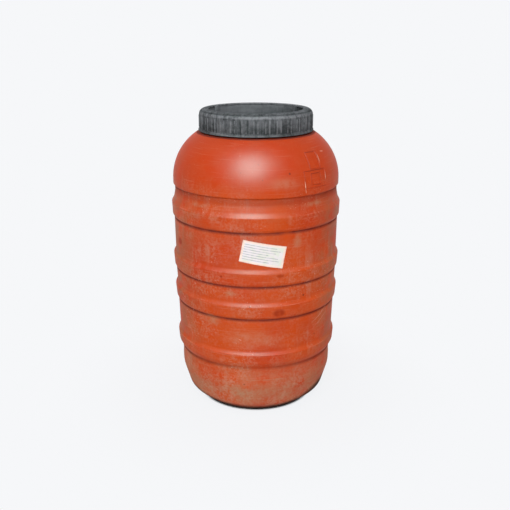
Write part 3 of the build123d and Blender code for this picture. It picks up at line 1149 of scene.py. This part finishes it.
def ringUneven(spot):
    # the bore stays true
    if spot.xy.length < ringBore + 0.0005:
        return spot
    soft = 0.5 + 0.5 * noise.noise(spot * ring["wobbleScale"] + Vector((5, 2, 1)))
    return spot - outwards(spot) * ring["wobble"] * soft


def lowOnRing(z):
    # 1 just over the bead and 0 from half-way up the side
    share = (z - beadTop) / ring["lowReach"]
    return 0.0 if share < 0 else max(0.0, 1.0 - share)


def makeScrewRing(size):
    line = ringLine(size)
    made = spinLine("screwRing", line, size["segments"], closed=True, shift=ringUneven)
    reaches = {"grimeAndShade": 0.004, "wear": 0.004, "groove": 0.0018, "top": 0.012}
    spread = spreadTags(line, size["segments"], reaches)
    soil = [max(near, size["grooveSoil"] * far) for near, far in zip(spread["grimeAndShade"], spread["groove"])]
    # the corner is paler most in front, from wear and a painted highlight; the flat top and mouth are paler
    # behind, painted light over their shade
    worn = []
    behindTone = []
    for vert, corner, top in zip(made.data.vertices, spread["wear"], spread["top"]):
        front = -vert.co.y / ringSide
        corner *= size["wornLitBehind"] + (1 - size["wornLitBehind"]) * max(0.0, front) ** 2
        worn.append(max(corner, top * max(0.0, -front)))
        behindTone.append(size["paleBehind"] * max(0.0, -front) * (vert.co.z > cornerHeight))
    paintPoints(made, "grimeAndShade", soil)
    paintPoints(made, "wear", worn)
    paintPoints(made, "tone", behindTone)
    paintPoints(made, "low", [lowOnRing(vert.co.z) for vert in made.data.vertices])
    return smoothShade(made, 34, ringPlastic)


block = {"bevelSteps": 2, "bevelShape": 0.6, "wear": 0.55, "wearReach": 0.0009}


def makeBlock(name, inner, outer, width, low, high, bevel, wearAt):
    # a block with bevelled edges across +X, worn and given a painted highlight on the side that stands free
    bm = bmesh.new()
    bmesh.ops.create_cube(bm, size=1.0)
    for vert in bm.verts:
        vert.co.x = inner if vert.co.x < 0 else outer
        vert.co.y *= width
        vert.co.z = low if vert.co.z < 0 else high
    shape = {"segments": block["bevelSteps"], "profile": block["bevelShape"], "affect": "EDGES"}
    bmesh.ops.bevel(bm, geom=bm.edges[:], offset=bevel, **shape)
    mesh = bpy.data.meshes.new(name)
    bm.to_mesh(mesh)
    bm.free()
    made = asObject(name, mesh)
    gaps = [abs(v.co.x - wearAt) / block["wearReach"] for v in mesh.vertices]
    paintPoints(made, "wear", [block["wear"] * max(0.0, 1.0 - gap) for gap in gaps])
    paintPoints(made, "low", [lowOnRing(v.co.z) for v in mesh.vertices])
    return made


def makeCatch(size):
    high = lidTop - lid["rim"] - size["catchPlay"]
    low = high - size["catchHeight"]
    inner = cornerRadius + lid["rimRound"] - size["catchReach"]
    outer = ringBore + size["catchSunk"]
    soft = size["catchSoft"]
    section = [(outer, low), (inner + soft, low), (inner, low + soft)]
    section += [(inner, high - soft), (inner + soft, high), (outer, high)]
    rings = []
    for n in range(size["catchSteps"] + 1):
        angle = math.radians(size["catchArc"] * n / size["catchSteps"])
        rings.append([polar(r, angle, z) for r, z in section])
    return skinRings("oneCatch", rings, capped=True)


screwRing = makeScrewRing(ring)
gripOuter = ringSide + ring["gripRelief"]
gripEnds = (beadTop + ring["gripEnds"], cornerHeight - ring["gripEnds"])
oneBar = (ringSide - ring["gripSunk"], gripOuter, ring["gripWidth"], *gripEnds, ring["soft"], gripOuter)
gripSpacing = ring["gripSpacing"] / ringSide
gripBars = makeBlock("oneBar", *oneBar)
gripBars = copyRound("gripBars", gripBars, ringPlastic, ring["gripPairs"], 4, perGroup=2, spacing=gripSpacing)

lugTop = ringTop - ring["lugDrop"]
lugInner = ringMouth - ring["lugReach"]
lugEnds = (lugTop - ring["lugHeight"], lugTop)
oneLug = (lugInner, lidMouth - ring["lugPlay"], ring["lugWidth"], *lugEnds, ring["lugSoft"], lugInner)
keyLugs = makeBlock("oneLug", *oneLug)
keyLugs = copyRound("keyLugs", keyLugs, lidPlastic, ring["lugs"], 1, math.radians(ring["lugBearing"]))

lidCatches = copyRound("lidCatches", makeCatch(ring), ringPlastic, ring["catches"], 2)
for piece in (gripBars, keyLugs, lidCatches):
    smoothShade(piece, 40)

# the two threads mesh with a clearance between their flanks
threadPlay = thread["crestWidth"] + thread["clearance"]
threadPlay += (thread["neckDepth"] - ring["rootPlay"]) * thread["flank"]
threadFoot -= threadPlay
ringThread = makeThread("ringThread", ringBore, thread["ringDepth"], -1.0, threadFoot, ringPlastic)
print("screw ring:", len(screwRing.data.polygons) + len(gripBars.data.polygons), "faces")


def makeInnerLid(size):
    rim = cornerRadius + size["rimRound"]
    corners = [
        (0.0, lidFloor - size["wall"], 0, ""),
        (lidRadius - size["draft"], lidFloor - size["wall"], size["dishRound"], ""),
        (lidRadius, lidTop - size["rim"], size["rimSoft"], ""),
        (rim, lidTop - size["rim"], size["rimSoft"], ""),
        (rim, lidTop, size["rimRound"], ""),
        # the mouth's rounding is paler: painted light over the shade under the ring's lip
        (lidMouth, lidTop, size["mouthRound"], "wear"),
        (lidMouth - size["draft"], lidFloor, size["floorRound"], "grimeAndShade"),
        (0.0, lidFloor, 0, ""),
    ]
    line = roundCorners(corners, stepDegrees=11.0)
    made = spinLine("innerLid", line, size["segments"])
    spread = spreadTags(line, size["segments"], {"grimeAndShade": 0.016, "wear": 0.004})
    # painted shadow darkens one patch of the recess wall under the rim
    for vert in made.data.vertices:
        aside = (math.degrees(math.atan2(vert.co.y, vert.co.x)) - size["shadowBearing"]) / size["shadowReach"]
        under = (lidTop - vert.co.z) / size["shadowDrop"]
        if vert.co.xy.length < lidMouth + 0.001 and vert.co.z > lidFloor + 0.002:
            paintedShadow = max(0.0, 1.0 - aside * aside) * max(0.0, 1.0 - under)
            spread["grimeAndShade"][vert.index] = max(spread["grimeAndShade"][vert.index], min(1.0, size["paintedShadow"] * paintedShadow))
    for tag, values in spread.items():
        paintPoints(made, tag, values)
    pieces = [made, makeLidHoop(size, size["hub"]), makeLidHoop(size, size["hoop"])]
    for piece in pieces:
        piece.data.materials.append(lidPlastic)
    return joinPieces("innerLid", pieces)


def makeLidHoop(size, radius):
    high = lidFloor + size["ribHeight"]
    low = lidFloor - size["wall"] / 2
    inside = radius - size["ribWidth"]
    soft = size["ribSoft"]
    line = [(inside, low), (radius, low), (radius, high - soft), (radius - soft, high)]
    line += [(inside + soft, high), (inside, high - soft)]
    return spinLine("lidHoop", line, size["hoopSegments"], closed=True)


innerLid = makeInnerLid(lid)
ribEnd = lidRadius - lid["draft"] - lid["wall"] / 2
ribEnds = (lidFloor - lid["wall"] / 2, lidFloor + lid["ribHeight"])
oneRib = (lid["hub"] - lid["ribWidth"] / 2, ribEnd, lid["ribWidth"], *ribEnds, lid["ribSoft"], ribEnd)
lidRibs = copyRound("lidRibs", makeBlock("oneRib", *oneRib), lidPlastic, lid["ribs"], 3)
for piece in (innerLid, lidRibs):
    smoothShade(piece, 36)
print("inner lid:", len(innerLid.data.polygons), "faces")

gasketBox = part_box("gasket")
gasket = {"bulge": 0.0002, "round": 0.0012, "outerRound": 0.001, "segments": 160}


def makeGasket(size):
    low, high = gasketBox[0].z, gasketBox[1].z
    inner = drum["neckRadius"] - drum["neckWall"] - lid["play"] / 2
    outer = gasketBox[1].x
    start = (inner, (low + high) / 2, 0, "")
    corners = [
        start,
        (inner + size["bulge"], low, size["round"], ""),
        (outer - size["bulge"], low, size["round"], ""),
        (outer, (low + high) / 2, size["outerRound"], ""),
        (outer - size["bulge"], high, size["round"], ""),
        (inner + size["bulge"], high, size["round"], ""),
        start,
    ]
    line = roundCorners(corners, stepDegrees=22.0, longest=0.01)[:-1]
    return smoothShade(spinLine("gasketRing", line, size["segments"], closed=True), 50, gasketFoam)


gasketRing = makeGasket(gasket)

# paper label

# lifted: the place of a corner that comes loose, how soon it holds again, and how far it lifts
label = {
    "width": 0.143,
    "height": 0.074,
    "corner": 0.0015,
    "cornerCut": 0.4,
    "thickness": 0.00035,
    "glue": 0.0002,
    "bearing": -85.4,
    "tilt": -11.0,
    "up": 0.0535,
    "curl": 0.0012,
    "lifted": [(0, 1, 2.4, 1.6, 1.0), (1, 0, 3.4, 2.2, 0.7)],
    "ripple": 0.00012,
    "rippleScale": 60,
    "columns": 72,
    "rows": 36,
}


def labelSpot(size, u, v, lift):
    # u and v run from 0 to 1 along the paper
    across = (u - 0.5) * size["width"]
    upwards = (v - 0.5) * size["height"]
    # the corners are cut round, and the paper lifts a little at two of them
    fromSide = min(u, 1 - u) * size["width"]
    fromEnd = min(v, 1 - v) * size["height"]
    if fromSide < size["corner"] and fromEnd < size["corner"]:
        across -= math.copysign((size["corner"] - fromEnd) * size["cornerCut"], across)
    lifted = 0.0
    for cornerU, cornerV, holdU, holdV, share in size["lifted"]:
        away = math.hypot((u - cornerU) * holdU, (v - cornerV) * holdV)
        lifted += share * max(0.0, 1 - away) ** 2
    tilt = math.radians(size["tilt"])
    x = across * math.cos(tilt) - upwards * math.sin(tilt)
    z = hoopFeet[3] - walls[2][2] + size["up"] + across * math.sin(tilt) + upwards * math.cos(tilt)
    wave = Vector((across * size["rippleScale"], upwards * size["rippleScale"], 4.0))
    lift += size["ripple"] * (1 + noise.noise(wave)) + size["curl"] * lifted
    spot = uneven(onBearing(size["bearing"], x, sideRadius(z - floorZ), z))
    return spot + outwards(spot) * lift


def makeLabel(size):
    columns, rows = size["columns"], size["rows"]
    layout = [(column / columns, row / rows) for row in range(rows + 1) for column in range(columns + 1)]
    points = [labelSpot(size, u, v, size["glue"]) for u, v in layout]
    points += [labelSpot(size, u, v, size["glue"] + size["thickness"]) for u, v in layout]
    width = columns + 1
    layer = len(layout)
    faces = []
    for row in range(rows):
        for a in range(row * width, row * width + columns):
            faces.append((a, a + width, a + width + 1, a + 1))
            faces.append((layer + a, layer + a + 1, layer + a + width + 1, layer + a + width))
    rim = list(range(columns))
    rim += [row * width + columns for row in range(rows)]
    rim += [rows * width + column for column in range(columns, 0, -1)]
    rim += [row * width for row in range(rows, 0, -1)]
    for a, b in zip(rim, rim[1:] + rim[:1]):
        faces.append((a, b, layer + b, layer + a))
    made = asMeshObject("paperLabel", points, faces)
    sheet = made.data.uv_layers.new(name="sheet")
    for loop in made.data.loops:
        sheet.data[loop.index].uv = layout[loop.vertex_index % layer]
    return smoothShade(made, 50, labelPaper)


paperLabel = makeLabel(label)
print("label:", len(paperLabel.data.polygons), "faces")

for piece, node in (
    (drumShell, "drum_body"),
    (screwRing, "screw_ring"),
    (innerLid, "inner_lid"),
    (gasketRing, "gasket"),
    (paperLabel, "label"),
):
    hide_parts(node)
for pieces, slot, body in (
    ((drumShell, neckThread, domeFrames, baseBead), "drum_plastic", "barrel"),
    ((paperLabel,), "label_paper", "barrel"),
    ((screwRing, gripBars, keyLugs, lidCatches, ringThread), "ring_plastic", "ring"),
    ((innerLid, lidRibs), "lid_plastic", "lid"),
    ((gasketRing,), "gasket_rubber", "lid"),
):
    for piece in pieces:
        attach(piece, body)

# camera, light and floor

view = {
    "sensor": 36.0,
    "lens": 52.94,
    "place": (0.0, -2.571, 1.3195),
    "tilt": 17.486,
    "shiftX": -0.00176,
    "shiftY": 0.0010,
    "backdrop": inLinear(246, 247, 249),
    "worldStrength": 0.50,
    "floorReach": 6.0,
    "floorDrop": 0.0005,
    "floorTone": 0.80,
    "floorGlow": 0.93,
    "floorWhite": 0.30,
    "floorFade": 0.80,
    "contactReach": 0.012,
    "contactSpan": (0.12, 0.34),
    "glowSpan": (0.20, 0.60),
    "contactShadeTone": (0.02, 0.02, 0.022, 1),
    "lampAzimuth": -8.0,
    "lampHeight": 41.0,
    "lampAway": 9.0,
    "lampWide": 4.6,
    "aimUp": 0.6,
}
# both stand in the same place: one lights the drum, the other only shows in its sheen
lamps = [
    {"name": "softbox", "power": 462.0, "tall": 4.6, "tint": (1, 1, 1), "lights": True},
    {"name": "sheenBox", "power": 11300.0, "tall": 7.4, "tint": (0.62, 1.0, 0.98), "lights": False},
]


def seenFields(tree):
    # 1 for what the camera sees directly, and 1 for that and what it sees in or through something
    path = addNode(tree, "ShaderNodeLightPath").outputs
    direct = Field(path["Is Camera Ray"])
    return direct, direct.larger(Field(path["Is Transmission Ray"])).larger(Field(path["Is Glossy Ray"]))


def mixed(share, first, second):
    return addField(share.tree, "ShaderNodeMixShader", {0: share, 1: first, 2: second})


def makeCamera(given):
    camera = asObject("camera", bpy.data.cameras.new("camera"))
    camera.data.sensor_width = given["sensor"]
    camera.data.lens = given["lens"]
    camera.data.shift_x = given["shiftX"]
    camera.data.shift_y = given["shiftY"]
    camera.location = Vector(given["place"]) + Vector((0, 0, floorZ))
    camera.rotation_euler = (math.radians(90 - given["tilt"]), 0, 0)
    bpy.context.scene.camera = camera


def makeWorld(given):
    # seen directly or in a reflection the backdrop is pale; on surfaces it is a soft fill
    world = bpy.data.worlds.new("studio")
    bpy.context.scene.world = world
    tree = emptyTree(world)
    fill = {"Color": (1, 1, 1, 1), "Strength": given["worldStrength"]}
    fill = addField(tree, "ShaderNodeBackground", fill)
    back = addField(tree, "ShaderNodeBackground", {"Color": given["backdrop"], "Strength": 1.0})
    addNode(tree, "ShaderNodeOutputWorld", {"Surface": mixed(seenFields(tree)[1], fill, back)})


def makeLamp(given, name, power, tall, tint, lights):
    turn = math.radians(given["lampAzimuth"])
    rise = math.radians(given["lampHeight"])
    away = Vector((math.sin(turn) * math.cos(rise), -math.cos(turn) * math.cos(rise), math.sin(rise)))
    lamp = asObject(name, bpy.data.lights.new(name, "AREA"))
    lamp.data.shape = "ELLIPSE"
    lamp.data.size = given["lampWide"]
    lamp.data.size_y = tall
    lamp.data.energy = power
    lamp.data.color = tint
    lamp.location = Vector((0, 0, floorZ + given["aimUp"])) + away * given["lampAway"]
    lamp.rotation_euler = away.to_track_quat("Z", "Y").to_euler()
    lamp.visible_diffuse = lights


def makeFloor(given):
    # plain and lit near the drum, so that it keeps the shadow, and backdrop further out
    reach = given["floorReach"]
    corners = [(-reach, -reach), (reach, -reach), (reach, reach), (-reach, reach)]
    level = floorZ - given["floorDrop"]
    floor = asMeshObject("floor", [(x, y, level) for x, y in corners], [(0, 1, 2, 3)])
    material = bpy.data.materials.new("paleFloor")
    tree = emptyTree(material)
    place = addField(tree, "ShaderNodeTexCoord", out="Object")
    away = addField(tree, "ShaderNodeVectorMath", {0: place}, "Value", operation="LENGTH")
    openness = {"Distance": given["contactReach"]}
    openness = addField(tree, "ShaderNodeAmbientOcclusion", openness, "AO", samples=12)
    matt = addField(tree, "ShaderNodeBsdfDiffuse", {"Color": (given["floorTone"],) * 3 + (1,)})
    contactShade = addField(tree, "ShaderNodeBsdfDiffuse", {"Color": given["contactShadeTone"]})
    plain = addField(tree, "ShaderNodeEmission", {"Color": given["backdrop"], "Strength": 1.0})
    direct, seen = seenFields(tree)
    # a glow lifts the floor to the backdrop's tone, but not where it meets the drum
    lit = mixed(openness.ramp(*given["glowSpan"]) * given["floorGlow"] * seen, matt, plain)
    # a dark matt floor paints the contact shadow where the floor meets the drum
    lit = mixed(openness.ramp(*given["contactSpan"]), contactShade, lit)
    far = away.ramp(given["floorWhite"], given["floorFade"]) * direct
    addNode(tree, "ShaderNodeOutputMaterial", {"Surface": mixed(far, lit, plain)})
    floor.data.materials.append(material)


makeCamera(view)
makeWorld(view)
for lamp in lamps:
    makeLamp(view, **lamp)
makeFloor(view)
bpy.context.scene.view_settings.view_transform = "Standard"
print("stage set")
